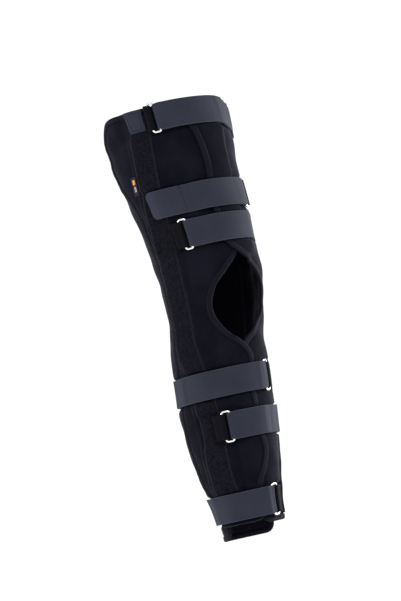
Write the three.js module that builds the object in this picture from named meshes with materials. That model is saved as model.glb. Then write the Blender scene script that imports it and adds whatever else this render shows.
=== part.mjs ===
// A three-panel knee immobilizer for a right leg, as it is worn.
// Millimetres. The origin is the centre of the knee on the leg's axis, +Z runs up the leg, the front
// of the leg looks along -Y and its outer (lateral) side along -X.
import * as THREE from "three";

// Overall sizes of the brace and of the leg that it closes round.
const braceLength = 586;
const lowerReach = 315;
const lateralTail = 3;
const medialTail = 8;
const rearTail = 22;
const rearTopDrop = 20;
const thighHalfWidth = 83;
const thighHalfDepth = 85;
const kneeShift = 18;
const calfSag = 9;
const topFall = 14;

// The padded laminate, its bound edges and the sewn-on strips.
const panelThickness = 4.5;
const topCorner = 24;
const bottomCorner = 13;
const tapeWidth = 7.5;
const tapeThickness = 0.8;
const tapeGap = 0.35;
const layerGap = 0.8;
const overlapRamp = 10;
const overlapMargin = 4;
const tipMargin = 14;
const tipReach = 40;
const stayRise = 2.4;
const pocketMargin = 8;
const pocketRamp = 5;
const stripWidth = 27;
const stripThickness = 1.1;
const stripGap = 0.3;

// Straps, rings and the webbing that holds the rings.
const strapWidth = 38;
const strapThickness = 1.5;
const strapGap = 0.7;
const foldGap = 0.4;
const tabCorner = 7;
const ringWire = 3;
const ringWidth = 11.8;
const ringReach = 3.2;
const ringClearance = 0.45;
const ringBend = 2.4;
const foldTuck = 1.2;
const foldSettle = 26;
const seatSettle = 8;
const holderWidth = 36;
const holderThickness = 1.2;
const holderLength = 11;
const holderSettle = 16;
const labelThickness = 0.7;

// How finely the surfaces are cut.
const topCornerRows = 2;
const bottomCornerRows = 2;
const rearColumns = 11;
const ribbonStep = 11;
const ringSides = 6;
const ringTurns = 2;

const degree = Math.PI / 180;
const upperReach = braceLength - lowerReach;

// Sections of the leg under the brace. up: height above the knee as a share of braceLength. side and
// back: how far the section's centre lies towards the inner side and towards the back, as shares of
// kneeShift and calfSag. wide and deep: shares of the thigh's half width and half depth.
const legSections = [
  { up: -0.60, side: -1.00, back: 0.3, wide: 0.41, deep: 0.44 },
  { up: -0.50, side: -1.00, back: 0.5, wide: 0.47, deep: 0.505 },
  { up: -0.43, side: -1.03, back: 0.6, wide: 0.575, deep: 0.605 },
  { up: -0.36, side: -0.95, back: 0.8, wide: 0.66, deep: 0.685 },
  { up: -0.27, side: -0.77, back: 1.0, wide: 0.715, deep: 0.735 },
  { up: -0.20, side: -0.55, back: 1.0, wide: 0.722, deep: 0.755 },
  { up: -0.11, side: -0.45, back: 0.7, wide: 0.72, deep: 0.74 },
  { up: -0.035, side: -0.03, back: 0.3, wide: 0.735, deep: 0.75 },
  { up: 0.045, side: 0.10, back: 0.0, wide: 0.79, deep: 0.805 },
  { up: 0.12, side: -0.08, back: -0.1, wide: 0.815, deep: 0.82 },
  { up: 0.205, side: -0.35, back: -0.2, wide: 0.865, deep: 0.87 },
  { up: 0.305, side: -0.85, back: -0.2, wide: 0.92, deep: 0.93 },
  { up: 0.41, side: -0.95, back: 0.0, wide: 1.00, deep: 1.00 },
  { up: 0.50, side: -1.05, back: 0.2, wide: 1.01, deep: 1.01 },
];

// Heights of the panels' rows, as shares of braceLength, closest beside the kneecap opening.
const levels = [-0.485, -0.43, -0.35, -0.26, -0.18, -0.127, -0.088, -0.045, 0, 0.045, 0.087, 0.115,
  0.19, 0.28, 0.37];

// The pointed ends of the kneecap opening, as shares of braceLength.
const openingTop = 0.087;
const openingBottom = -0.127;

// Edges of the panels, as angles round the leg in degrees: 0 is the front, plus is the inner side.
const lateralRear = [
  { up: -0.54, angle: -106 }, { up: -0.35, angle: -104 }, { up: -0.16, angle: -100 },
  { up: -0.10, angle: -96 }, { up: 0.0, angle: -100 }, { up: 0.20, angle: -100 },
  { up: 0.26, angle: -103 }, { up: 0.31, angle: -112 }, { up: 0.38, angle: -111 },
  { up: 0.46, angle: -102 },
];
const lateralFront = [
  { up: -0.54, angle: -8 }, { up: -0.455, angle: -7 }, { up: -0.42, angle: 3 },
  { up: -0.385, angle: 8 }, { up: -0.345, angle: 5 }, { up: -0.28, angle: 2 },
  { up: -0.25, angle: 1 }, { up: -0.185, angle: 4.5 }, { up: -0.15, angle: 3 },
  { up: -0.127, angle: -4 }, { up: -0.083, angle: -26 }, { up: -0.05, angle: -37.5 },
  { up: -0.02, angle: -40 }, { up: 0.02, angle: -32 }, { up: 0.053, angle: -16 },
  { up: 0.087, angle: 0 }, { up: 0.125, angle: 10 }, { up: 0.20, angle: 14 },
  { up: 0.46, angle: 12 },
];
const medialFront = [
  { up: -0.54, angle: -16 }, { up: -0.42, angle: -22 }, { up: -0.25, angle: -20 }, { up: -0.17, angle: -16 },
  { up: -0.127, angle: -4 }, { up: -0.103, angle: 11 }, { up: -0.07, angle: 29 },
  { up: -0.04, angle: 39 }, { up: -0.005, angle: 43 }, { up: 0.027, angle: 33 },
  { up: 0.055, angle: 18 }, { up: 0.087, angle: 0 }, { up: 0.115, angle: -11 },
  { up: 0.19, angle: -15.5 }, { up: 0.27, angle: -12 }, { up: 0.31, angle: -10.5 },
  { up: 0.37, angle: -14 }, { up: 0.42, angle: -20 }, { up: 0.46, angle: -24 },
];
const medialRear = [
  { up: -0.54, angle: 118 }, { up: -0.3, angle: 112 }, { up: 0.0, angle: 112 },
  { up: 0.46, angle: 108 },
];

// Middle of the loop strip over each side stay, and the ridge of the stay pocket behind it.
const lateralStripMiddle = [
  { up: -0.54, angle: -62 }, { up: -0.42, angle: -62 }, { up: -0.31, angle: -58 },
  { up: -0.21, angle: -63 }, { up: -0.15, angle: -69 }, { up: -0.06, angle: -77 },
  { up: 0.0, angle: -79.5 }, { up: 0.11, angle: -77 }, { up: 0.18, angle: -75 },
  { up: 0.30, angle: -66 }, { up: 0.39, angle: -61 }, { up: 0.46, angle: -60 },
];
const medialStripMiddle = [
  { up: -0.54, angle: 70 }, { up: -0.3, angle: 80 }, { up: -0.15, angle: 84 }, { up: 0.0, angle: 88 },
  { up: 0.20, angle: 87 }, { up: 0.46, angle: 82 },
];

// The straps from the top down. up: height of the strap's middle as a share of braceLength. ring:
// angle of the ring bar that the strap turns round. start and end: angles where the strap is sewn
// down and where its free tab ends. fall: how far it drops towards the inner side, as a share of
// topFall. holder: length of the ring's webbing as a share of holderLength.
const straps = [
  { up: 0.432, ring: -41.5, start: 100, end: 72, fall: 1, holder: 0.5 },
  { up: 0.232, ring: 37, start: -64, end: -75, fall: 0, holder: 1 },
  { up: 0.151, ring: -46.5, start: 150, end: 98, fall: 0, holder: 1 },
  { up: -0.209, ring: 23, start: -165, end: -134, fall: 0, holder: 1 },
  { up: -0.313, ring: -35, start: 150, end: 100, fall: 0, holder: 1 },
  { up: -0.501, ring: 10, start: -165, end: -132, fall: 0, holder: 1 },
];

// Corners of the two flat pieces on the outer side: angles behind and in front, at each height.
const strapPatch = [
  { up: 0.407, behind: -67.5, front: -54.6 },
  { up: 0.459, behind: -70.5, front: -54.6 },
];
const sideLabel = [
  { up: 0.267, behind: -87.6, front: -79.6 },
  { up: 0.311, behind: -84, front: -76 },
];

const materials = {
  foam: { color: 0x17161c, roughness: 0.92, metalness: 0 },
  tape: { color: 0x201f27, roughness: 0.8, metalness: 0 },
  loop: { color: 0x121116, roughness: 1, metalness: 0 },
  strap: { color: 0x3a3c47, roughness: 0.72, metalness: 0 },
  holder: { color: 0x15151a, roughness: 0.7, metalness: 0 },
  ring: { color: 0xc9cacb, roughness: 0.22, metalness: 1 },
  label: { color: 0xb98a3a, roughness: 0.7, metalness: 0 },
};

const smooth = (t) => {
  const s = Math.min(1, Math.max(0, t));
  return s * s * (3 - 2 * s);
};

// Smooth curve through the rows of a table, read at a height z.
function along(rows, key, z) {
  const t = z / braceLength;
  let k = 0;
  while (k < rows.length - 2 && t > rows[k + 1].up) k += 1;
  const slope = (i) => {
    const a = rows[Math.max(0, i - 1)];
    const b = rows[Math.min(rows.length - 1, i + 1)];
    return (b[key] - a[key]) / (b.up - a.up);
  };
  const span = rows[k + 1].up - rows[k].up;
  const s = Math.min(1, Math.max(0, (t - rows[k].up) / span));
  const s2 = s * s;
  const s3 = s2 * s;
  return (2 * s3 - 3 * s2 + 1) * rows[k][key] + (s3 - 2 * s2 + s) * span * slope(k)
    + (3 * s2 - 2 * s3) * rows[k + 1][key] + (s3 - s2) * span * slope(k + 1);
}

const radiusAt = (z) => 0.5 * (along(legSections, "wide", z) * thighHalfWidth
  + along(legSections, "deep", z) * thighHalfDepth);
const degreesFor = (length, z) => length / radiusAt(z) / degree;

// A point at an angle, a height and a distance outside the leg.
function onLeg(angle, z, out) {
  const a = angle * degree;
  const wide = along(legSections, "wide", z) * thighHalfWidth + out;
  const deep = along(legSections, "deep", z) * thighHalfDepth + out;
  const x = along(legSections, "side", z) * kneeShift + wide * Math.sin(a);
  const y = along(legSections, "back", z) * calfSag - deep * Math.cos(a);
  return [x, y, z];
}

// The upper edge of the brace falls towards the inner side, between two angles and over a turn.
const fallFrom = 5;
const fallUntil = 230;
const fallTurn = 75;
const fallAt = (angle) => topFall * smooth((angle - fallFrom) / fallTurn)
  * smooth((fallUntil - angle) / fallTurn);
const slanted = (angle, z) => z - fallAt(angle) * smooth((z / upperReach - 0.5) / 0.5);

const stripHalf = (z) => degreesFor(stripWidth / 2, z);
const spareFor = (z) => degreesFor(overlapMargin, z);
const tipSpare = (tip, z) => degreesFor(overlapMargin
  + tipMargin * smooth(1 - Math.abs(z - tip * braceLength) / tipReach), z);
const medialCrest = (z) => along(lateralFront, "angle", z) + tipSpare(openingTop, z);
const lateralCrest = (z) => along(medialFront, "angle", z) - tipSpare(openingBottom, z);
const edgeAt = (table) => (z) => along(table, "angle", z);

// The rear panel reaches under both side panels, up to just short of their loop strips.
const rearMedialEdge = (z) => along(medialStripMiddle, "angle", z) + stripHalf(z) + spareFor(z);
const rearLateralEdge = (z) => along(lateralStripMiddle, "angle", z) - stripHalf(z) - spareFor(z) + 360;

// A panel climbs evenly over the one under it, from 0 at one angle to a whole layer at the other.
const layerStep = panelThickness + layerGap;
const climb = (angle, ground, crest) => layerStep
  * Math.min(1, Math.max(0, (angle - ground) / (crest - ground)));

// How far the inner face of each panel lies outside the leg. Towards the rear the side panels climb
// over the rear one under their loop strips. In front the medial panel lies over the lateral one above
// the knee, and under it below.
function lateralBase(angle, z) {
  const middle = along(lateralStripMiddle, "angle", z);
  const rear = climb(angle, middle + stripHalf(z), middle - stripHalf(z));
  const crest = lateralCrest(z);
  return rear + (z < 0 ? climb(angle, crest - degreesFor(overlapRamp, z), crest) : 0);
}

function medialBase(angle, z) {
  const middle = along(medialStripMiddle, "angle", z);
  const rear = climb(angle, middle - stripHalf(z), middle + stripHalf(z));
  const crest = medialCrest(z);
  return rear + (z > 0 ? climb(angle, crest + degreesFor(overlapRamp, z), crest) : 0);
}

const rearBase = () => 0;

// The pocket of the side stay stands up under the loop strip.
function pocket(middle, angle, z) {
  const off = Math.abs(angle - along(middle, "angle", z)) * degree * radiusAt(z);
  return stayRise * smooth((stripWidth / 2 + pocketMargin - 1 - off) / pocketRamp);
}
const lateralTop = (angle, z) => lateralBase(angle, z) + panelThickness
  + pocket(lateralStripMiddle, angle, z);
const medialTop = (angle, z) => medialBase(angle, z) + panelThickness
  + pocket(medialStripMiddle, angle, z);
const rearTop = () => panelThickness;

// The mesh of a closed solid from rows of points and the faces between them.
function solid(name, points, faces, finish) {
  const geometry = new THREE.BufferGeometry();
  geometry.setAttribute("position", new THREE.Float32BufferAttribute(points.flat(), 3));
  geometry.setIndex(faces);
  geometry.computeVertexNormals();
  const mesh = new THREE.Mesh(geometry, new THREE.MeshStandardMaterial(materials[finish]));
  mesh.name = name;
  return mesh;
}

const quad = (faces, a, b, c, d) => faces.push(a, b, c, a, c, d);
const quadAcross = (faces, a, b, c, d) => faces.push(b, c, d, b, d, a);

// Heights of a panel's rows along its seam, closer together in the rounded corners.
function rowHeights(panel) {
  const corner = (radius, rows) => Array.from({ length: rows + 1 },
    (unused, k) => (radius - tapeWidth) * (1 - Math.cos((k / rows) * 90 * degree)));
  const low = corner(bottomCorner, bottomCornerRows).map((up) => panel.bottom + tapeWidth + up);
  const high = corner(topCorner, topCornerRows).map((up) => panel.top - tapeWidth - up).reverse();
  const middle = levels.map((up) => up * braceLength)
    .filter((z) => z > low.at(-1) + tapeWidth && z < high[0] - tapeWidth);
  return [...low, ...middle, ...high];
}

// How far a rounded corner pulls the seam in at a height.
function cornerPull(panel, z) {
  const pull = (radius, near) => {
    if (near >= radius) return 0;
    return radius - Math.sqrt(Math.max(0, radius * radius - (radius - near) ** 2));
  };
  return pull(bottomCorner - tapeWidth, z - panel.bottom - tapeWidth)
    + pull(topCorner - tapeWidth, panel.top - tapeWidth - z);
}

// Columns spread evenly between stops, which stay in order and inside the first and the last.
function spread(stops, cells) {
  const first = stops[0];
  const last = stops.at(-1);
  const least = (last - first) / 40;
  const kept = [first];
  for (let k = 1; k < stops.length; k += 1) {
    kept.push(Math.min(Math.max(stops[k], kept[k - 1] + least), last - least * (stops.length - 1 - k)));
  }
  const angles = [first];
  cells.forEach((count, k) => {
    for (let n = 1; n <= count; n += 1) angles.push(kept[k] + ((kept[k + 1] - kept[k]) * n) / count);
  });
  return angles;
}

// A panel's angles and heights. Its border runs all round: the rim is the true edge, and the seam
// lies one tape width inside it.
function panelLayout(panel) {
  const slope = (edge, z) => ((edge(z + 4) - edge(z - 4)) / 8) * degree * radiusAt(z);
  const grid = rowHeights(panel).map((z) => {
    const pull = cornerPull(panel, z);
    const inset = (edge) => degreesFor(pull + tapeWidth * Math.hypot(1, slope(edge, z)), z);
    const first = panel.first(z) + inset(panel.first);
    const last = panel.last(z) - inset(panel.last);
    return panel.columns(first, last, z).map((angle) => [angle, slanted(angle, z)]);
  });
  const across = grid[0].length - 1;
  const up = grid.length - 1;
  const border = [];
  for (let i = 0; i < across; i += 1) border.push([0, i]);
  for (let j = 0; j < up; j += 1) border.push([j, across]);
  for (let i = across; i > 0; i -= 1) border.push([up, i]);
  for (let j = up; j > 0; j -= 1) border.push([j, 0]);
  const seam = border.map(([j, i]) => grid[j][i]);
  const rim = seam.map(([angle, z], k) => {
    const before = seam[(k + seam.length - 1) % seam.length];
    const after = seam[(k + 1) % seam.length];
    const round = (after[0] - before[0]) * degree * radiusAt(z);
    const rise = after[1] - before[1];
    const length = Math.hypot(round, rise);
    return [angle + degreesFor((rise / length) * tapeWidth, z), z - (round / length) * tapeWidth];
  });
  return { grid, border, seam, rim };
}

// A point of the border: inward is the distance from the rim towards the seam.
function borderPoint(layout, k, inward) {
  const share = inward / tapeWidth;
  const [a0, z0] = layout.rim[k];
  const [a1, z1] = layout.seam[k];
  return [a0 + (a1 - a0) * share, z0 + (z1 - z0) * share];
}

// The padded panel: full thickness inside the seam, and a thinner tongue inside the tape.
function panelMesh(panel, layout) {
  const points = [];
  const faces = [];
  const { grid, border } = layout;
  const count = border.length;
  const across = grid[0].length;
  const add = (angle, z, out) => points.push(onLeg(angle, z, out)) - 1;
  const outer = grid.map((row) => row.map(([a, z]) => add(a, z, panel.face(a, z))));
  const inner = grid.map((row) => row.map(([a, z]) => add(a, z, panel.base(a, z))));
  for (let j = 0; j + 1 < grid.length; j += 1) {
    for (let i = 0; i + 1 < across; i += 1) {
      quad(faces, outer[j][i], outer[j][i + 1], outer[j + 1][i + 1], outer[j + 1][i]);
      quad(faces, inner[j][i], inner[j + 1][i], inner[j + 1][i + 1], inner[j][i + 1]);
    }
  }
  const recess = tapeThickness + tapeGap;
  const loops = [border.map(([j, i]) => outer[j][i])];
  const ring = (inward, height) => loops.push(border.map((unused, k) => {
    const [a, z] = borderPoint(layout, k, inward);
    return add(a, z, height(a, z));
  }));
  ring(tapeWidth, (a, z) => panel.face(a, z) - recess);
  ring(recess, (a, z) => panel.face(a, z) - recess);
  ring(recess, (a, z) => panel.base(a, z) + recess);
  ring(tapeWidth, (a, z) => panel.base(a, z) + recess);
  loops.push(border.map(([j, i]) => inner[j][i]));
  for (let n = 0; n + 1 < loops.length; n += 1) {
    for (let k = 0; k < count; k += 1) {
      const m = (k + 1) % count;
      quad(faces, loops[n][k], loops[n + 1][k], loops[n + 1][m], loops[n][m]);
    }
  }
  return solid(`${panel.name}_panel`, points, faces, "foam");
}

// The edge tape: a channel folded over the panel's rim.
function bindingMesh(panel, layout) {
  const points = [];
  const faces = [];
  const count = layout.rim.length;
  const leg = tapeWidth - tapeGap;
  const section = [
    { inward: leg, side: "face", depth: 0 },
    { inward: tapeThickness, side: "face", depth: 0 },
    { inward: 0, side: "middle", depth: 0 },
    { inward: tapeThickness, side: "base", depth: 0 },
    { inward: leg, side: "base", depth: 0 },
    { inward: leg, side: "base", depth: tapeThickness },
    { inward: tapeThickness, side: "base", depth: tapeThickness },
    { inward: tapeThickness, side: "face", depth: tapeThickness },
    { inward: leg, side: "face", depth: tapeThickness },
  ];
  for (let k = 0; k < count; k += 1) {
    for (const { inward, side, depth } of section) {
      const [a, z] = borderPoint(layout, k, inward);
      const face = panel.face(a, z);
      const base = panel.base(a, z);
      const heights = { face: face - depth, middle: (face + base) / 2, base: base + depth };
      points.push(onLeg(a, z, heights[side]));
    }
  }
  const size = section.length;
  for (let k = 0; k < count; k += 1) {
    const m = (k + 1) % count;
    for (let n = 0; n < size; n += 1) {
      const p = (n + 1) % size;
      const face = n < 5 ? quad : quadAcross;
      face(faces, k * size + n, k * size + p, m * size + p, m * size + n);
    }
  }
  return solid(`${panel.name}_binding`, points, faces, "tape");
}

const ridgeHalf = (z) => degreesFor(stripWidth / 2 + pocketMargin, z);

const panels = [
  {
    name: "lateral", first: edgeAt(lateralRear), last: edgeAt(lateralFront),
    bottom: -lowerReach - lateralTail, top: upperReach, base: lateralBase, face: lateralTop,
    columns: (first, last, z) => {
      const middle = along(lateralStripMiddle, "angle", z);
      const crest = lateralCrest(z);
      const ground = crest - degreesFor(overlapRamp, z);
      return spread([first, middle - ridgeHalf(z), middle - stripHalf(z), middle + stripHalf(z),
        ground, crest, last], [3, 1, 2, 2, 1, 3]);
    },
  },
  {
    name: "medial", first: edgeAt(medialFront), last: edgeAt(medialRear),
    bottom: -lowerReach - medialTail, top: upperReach, base: medialBase, face: medialTop,
    columns: (first, last, z) => {
      const middle = along(medialStripMiddle, "angle", z);
      const crest = medialCrest(z);
      const ground = crest + degreesFor(overlapRamp, z);
      return spread([first, crest, ground, middle - stripHalf(z), middle + stripHalf(z),
        middle + ridgeHalf(z), last], [4, 1, 2, 2, 1, 1]);
    },
  },
  {
    name: "rear", first: rearMedialEdge, last: rearLateralEdge,
    bottom: -lowerReach - rearTail, top: upperReach - rearTopDrop, base: rearBase, face: rearTop,
    columns: (first, last) => spread([first, last], [rearColumns]),
  },
];

// The loop strip sewn over the stay pocket, from edge tape to edge tape.
function stripMesh(name, panel, middle) {
  const points = [];
  const faces = [];
  const heights = rowHeights(panel).slice(1, -1);
  for (const z of heights) {
    const centre = along(middle, "angle", z);
    const half = degreesFor(stripWidth / 2 - 0.5, z);
    for (const out of [stripGap, stripGap + stripThickness]) {
      for (const angle of [centre - half, centre, centre + half]) {
        const low = slanted(angle, z);
        points.push(onLeg(angle, low, panel.face(angle, low) + out));
      }
    }
  }
  const section = [3, 4, 5, 2, 1, 0];
  const size = section.length;
  for (let j = 0; j + 1 < heights.length; j += 1) {
    for (let n = 0; n < size; n += 1) {
      const a = section[n];
      const b = section[(n + 1) % size];
      const face = n < 3 ? quad : quadAcross;
      face(faces, j * size + a, j * size + b, (j + 1) * size + b, (j + 1) * size + a);
    }
  }
  const last = (heights.length - 1) * size;
  quad(faces, 0, 1, 4, 3);
  quad(faces, 1, 2, 5, 4);
  quad(faces, last + 3, last + 4, last + 1, last);
  quad(faces, last + 4, last + 5, last + 2, last + 1);
  return solid(name, points, faces, "loop");
}

// How far the panels and loop strips stand out at an angle and height.
function coverAt(angle, z) {
  const spare = spareFor(z);
  let cover = 0;
  for (const panel of panels) {
    for (const turn of [0, 360]) {
      const a = angle + turn;
      const first = panel.first(z) - spare;
      const last = panel.last(z) + spare;
      if (a > first && a < last) cover = Math.max(cover, panel.face(a, z));
    }
  }
  for (const middle of [lateralStripMiddle, medialStripMiddle]) {
    if (Math.abs(angle - along(middle, "angle", z)) < stripHalf(z) + spare) {
      const face = middle === lateralStripMiddle ? lateralTop : medialTop;
      cover = Math.max(cover, face(angle, z) + stripGap + stripThickness);
    }
  }
  return cover;
}

// The face that a strap lies on, evened out round the leg so that the strap bridges the hollows. The
// leg's bulge over a straight line across the strap's width counts too.
function seatAt(angle, z, halfWidth) {
  const low = radiusAt(z - halfWidth);
  const high = radiusAt(z + halfWidth);
  const peak = (a) => {
    let most = 0;
    for (const up of [-1, -0.5, 0, 0.5, 1]) {
      const level = z + up * halfWidth;
      const bulge = radiusAt(level) - (low + high) / 2 - (up * (high - low)) / 2;
      for (const turn of [-8, -4, 0, 4, 8]) most = Math.max(most, coverAt(a + turn, level) + bulge);
    }
    return most;
  };
  const near = [-6, -3, 0, 3, 6].map((turn) => peak(angle + turn));
  return near.reduce((sum, value) => sum + value, 0) / near.length + strapGap;
}

// A ribbon from a list of stations: low and high are its two faces as [angle, out]. sense is 1 where
// its first layer runs towards plus angles.
function ribbonMesh(name, stations, sense, middleAt, finish) {
  const points = [];
  const faces = [];
  for (const { low, high, half } of stations) {
    for (const [face, up] of [[low, -1], [high, -1], [high, 1], [low, 1]]) {
      points.push(onLeg(face[0], middleAt(face[0]) + up * half, face[1]));
    }
  }
  for (let k = 0; k + 1 < stations.length; k += 1) {
    for (let n = 0; n < 4; n += 1) {
      const p = (n + 1) % 4;
      quad(faces, k * 4 + n, k * 4 + p, (k + 1) * 4 + p, (k + 1) * 4 + n);
    }
  }
  const last = (stations.length - 1) * 4;
  quad(faces, 3, 2, 1, 0);
  quad(faces, last, last + 1, last + 2, last + 3);
  if (sense > 0) faces.reverse();
  return solid(name, points, faces, finish);
}

const strapHeight = (strap) => (angle) => strap.up * braceLength - strap.fall * fallAt(angle);

// Angles from one to another in even steps.
function steps(from, to, step) {
  const count = Math.max(1, Math.round(Math.abs(to - from) / step));
  return Array.from({ length: count + 1 }, (unused, k) => from + ((to - from) * k) / count);
}

const wireRadius = ringWire / 2;
const foldRadius = wireRadius + ringClearance;

// A turn round the ring bar, from the leg's side to the outside.
function turnStations(angle, seat, thickness, side, z, half) {
  const centre = seat + thickness + foldRadius;
  return [30, 60, 90, 120, 150].map((phase) => {
    const at = (radius) => [
      angle + side * degreesFor(radius * Math.sin(phase * degree), z),
      centre - radius * Math.cos(phase * degree),
    ];
    return { low: at(foldRadius + thickness), high: at(foldRadius), half: half - foldTuck };
  });
}

// A strap: sewn down at its start, laid to the ring, folded round its bar and back to its tab.
function strapMesh(strap, index) {
  const z = strap.up * braceLength;
  const half = strapWidth / 2;
  const side = Math.sign(strap.ring - strap.end);
  const seat = (angle) => seatAt(angle, strapHeight(strap)(angle), half);
  const ringSeat = seat(strap.ring);
  const settle = degreesFor(foldSettle, z);
  const blend = (angle) => smooth(1 - Math.abs(angle - strap.ring) / settle);
  const laid = (angle) => {
    const near = smooth(1 - Math.abs(angle - strap.ring) / degreesFor(seatSettle, z));
    return seat(angle) * (1 - near) + ringSeat * near;
  };
  const stations = steps(strap.start, strap.ring, ribbonStep).map((angle) => ({
    low: [angle, laid(angle)], high: [angle, laid(angle) + strapThickness], half,
  }));
  stations.push(...turnStations(strap.ring, ringSeat, strapThickness, side, z, half));
  const tabCut = degreesFor(tabCorner, z) * side;
  const out = steps(strap.ring, strap.end + tabCut, ribbonStep);
  const under = (angle) => {
    const covered = (strap.start - angle) * side < 0 ? 1 : 0;
    const inner = covered * (strapThickness + foldGap);
    const lift = 2 * foldRadius + strapThickness;
    return laid(angle) + inner + (lift - inner) * blend(angle);
  };
  out.forEach((angle) => stations.push({
    low: [angle, under(angle) + strapThickness], high: [angle, under(angle)], half,
  }));
  for (const share of [0.45, 0.8, 1]) {
    const angle = strap.end + tabCut * (1 - share);
    const cut = tabCorner * (1 - Math.sqrt(1 - share * share));
    stations.push({
      low: [angle, under(angle) + strapThickness], high: [angle, under(angle)], half: half - cut,
    });
  }
  return ribbonMesh(`strap_${index + 1}`, stations, side, strapHeight(strap), "strap");
}

// Where the far bar of a strap's ring lies, which the holder turns round.
function farBar(strap) {
  const side = Math.sign(strap.ring - strap.end);
  return strap.ring + side * degreesFor(ringWidth - ringWire, strap.up * braceLength);
}

// The height of a ring's middle above the leg.
const ringOut = (strap) => seatAt(strap.ring, strapHeight(strap)(strap.ring), strapWidth / 2)
  + strapThickness + foldRadius;

// An oval ring of wire, lying along the leg.
function ringMesh(strap, index) {
  const z = strapHeight(strap)(strap.ring);
  const middle = (strap.ring + farBar(strap)) / 2;
  const halfAcross = (ringWidth - ringWire) / 2;
  const halfLong = strapWidth / 2 + ringReach - wireRadius;
  const bend = ringBend;
  const line = [];
  const corners = [[1, 1, 0], [-1, 1, 90], [-1, -1, 180], [1, -1, 270]];
  for (const [sx, sz, from] of corners) {
    for (let k = 0; k <= ringTurns; k += 1) {
      const a = (from + (90 * k) / ringTurns) * degree;
      line.push([sx * (halfAcross - bend) + bend * Math.cos(a),
        sz * (halfLong - bend) + bend * Math.sin(a), a]);
    }
  }
  const points = [];
  const faces = [];
  for (const [across, up, a] of line) {
    for (let n = 0; n < ringSides; n += 1) {
      const turn = (360 / ringSides) * n * degree;
      const wide = across + wireRadius * Math.cos(turn) * Math.cos(a);
      const high = up + wireRadius * Math.cos(turn) * Math.sin(a);
      points.push(onLeg(middle + degreesFor(wide, z), z + high,
        ringOut(strap) + wireRadius * Math.sin(turn)));
    }
  }
  for (let k = 0; k < line.length; k += 1) {
    const m = (k + 1) % line.length;
    for (let n = 0; n < ringSides; n += 1) {
      const p = (n + 1) % ringSides;
      quad(faces, k * ringSides + n, m * ringSides + n, m * ringSides + p, k * ringSides + p);
    }
  }
  return solid(`ring_${index + 1}`, points, faces, "ring");
}

// The webbing that holds a ring: folded round the far bar, both ends sewn to the panel.
function holderMesh(strap, index) {
  const side = Math.sign(strap.ring - strap.end);
  const z = strap.up * braceLength;
  const half = holderWidth / 2;
  const bar = farBar(strap);
  const end = bar + side * degreesFor(holderLength * strap.holder, z);
  const centre = ringOut(strap);
  const lowSeat = centre - foldRadius - holderThickness;
  const settle = degreesFor(holderSettle, z);
  const blend = (angle) => smooth(1 - Math.abs(angle - bar) / settle);
  const seat = (angle) => seatAt(angle, strapHeight(strap)(angle), half);
  const under = (angle) => seat(angle) + (lowSeat - seat(angle)) * blend(angle);
  const over = (angle) => {
    const closed = under(angle) + holderThickness + foldGap;
    return closed + (2 * foldRadius - foldGap) * blend(angle);
  };
  const lower = steps(end, bar, ribbonStep / 2).map((angle) => ({
    low: [angle, under(angle)], high: [angle, under(angle) + holderThickness], half,
  }));
  const upper = steps(bar, end, ribbonStep / 2).map((angle) => ({
    low: [angle, over(angle) + holderThickness], high: [angle, over(angle)], half,
  }));
  const turn = turnStations(bar, lowSeat, holderThickness, -side, z, half);
  const stations = [...lower, ...turn, ...upper];
  return ribbonMesh(`ring_holder_${index + 1}`, stations, -side, strapHeight(strap), "holder");
}

// A flat piece sewn on the outside, between the angles of its lower and its upper edge.
function patchMesh(name, corners, gap, thickness, finish) {
  const columns = 3;
  const points = [];
  const faces = [];
  for (const { up, behind, front } of corners) {
    for (const out of [gap, gap + thickness]) {
      for (let i = 0; i <= columns; i += 1) {
        const angle = behind + ((front - behind) * i) / columns;
        const z = up * braceLength;
        points.push(onLeg(angle, z, coverAt(angle, z) + out));
      }
    }
  }
  const row = columns + 1;
  const at = (j, out, i) => (j * 2 + out) * row + i;
  for (let i = 0; i < columns; i += 1) {
    quad(faces, at(0, 1, i), at(0, 1, i + 1), at(1, 1, i + 1), at(1, 1, i));
    quad(faces, at(0, 0, i), at(1, 0, i), at(1, 0, i + 1), at(0, 0, i + 1));
    quad(faces, at(0, 0, i), at(0, 0, i + 1), at(0, 1, i + 1), at(0, 1, i));
    quad(faces, at(1, 1, i), at(1, 1, i + 1), at(1, 0, i + 1), at(1, 0, i));
  }
  quad(faces, at(0, 0, 0), at(0, 1, 0), at(1, 1, 0), at(1, 0, 0));
  quad(faces, at(0, 1, columns), at(0, 0, columns), at(1, 0, columns), at(1, 1, columns));
  return solid(name, points, faces, finish);
}

const group = new THREE.Group();

const layouts = panels.map(panelLayout);
panels.forEach((panel, k) => {
  group.add(panelMesh(panel, layouts[k]));
  group.add(bindingMesh(panel, layouts[k]));
});
group.add(stripMesh("lateral_loop_strip", panels[0], lateralStripMiddle));
group.add(stripMesh("medial_loop_strip", panels[1], medialStripMiddle));

straps.forEach((strap, index) => {
  group.add(strapMesh(strap, index));
  group.add(ringMesh(strap, index));
  group.add(holderMesh(strap, index));
});

group.add(patchMesh("strap_1_patch", strapPatch, strapGap, strapThickness, "strap"));
group.add(patchMesh("side_label", sideLabel, strapGap, labelThickness, "label"));

export default group;
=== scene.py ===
# %% [markdown]
# # A wrap-round knee immobilizer
# The brace has three padded panels, taped at their edges and wrapped round a straight leg, and six
# straps that pass through wire rings. The measured solids are already in the frame. This script
# dresses each one: it builds the cloth, webbing, wire and stitches as finer meshes in the same place.
# %% Load the frame
import math
from collections import namedtuple

import bmesh
import bpy
import numpy as np
from mathutils import Matrix, Vector


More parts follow.
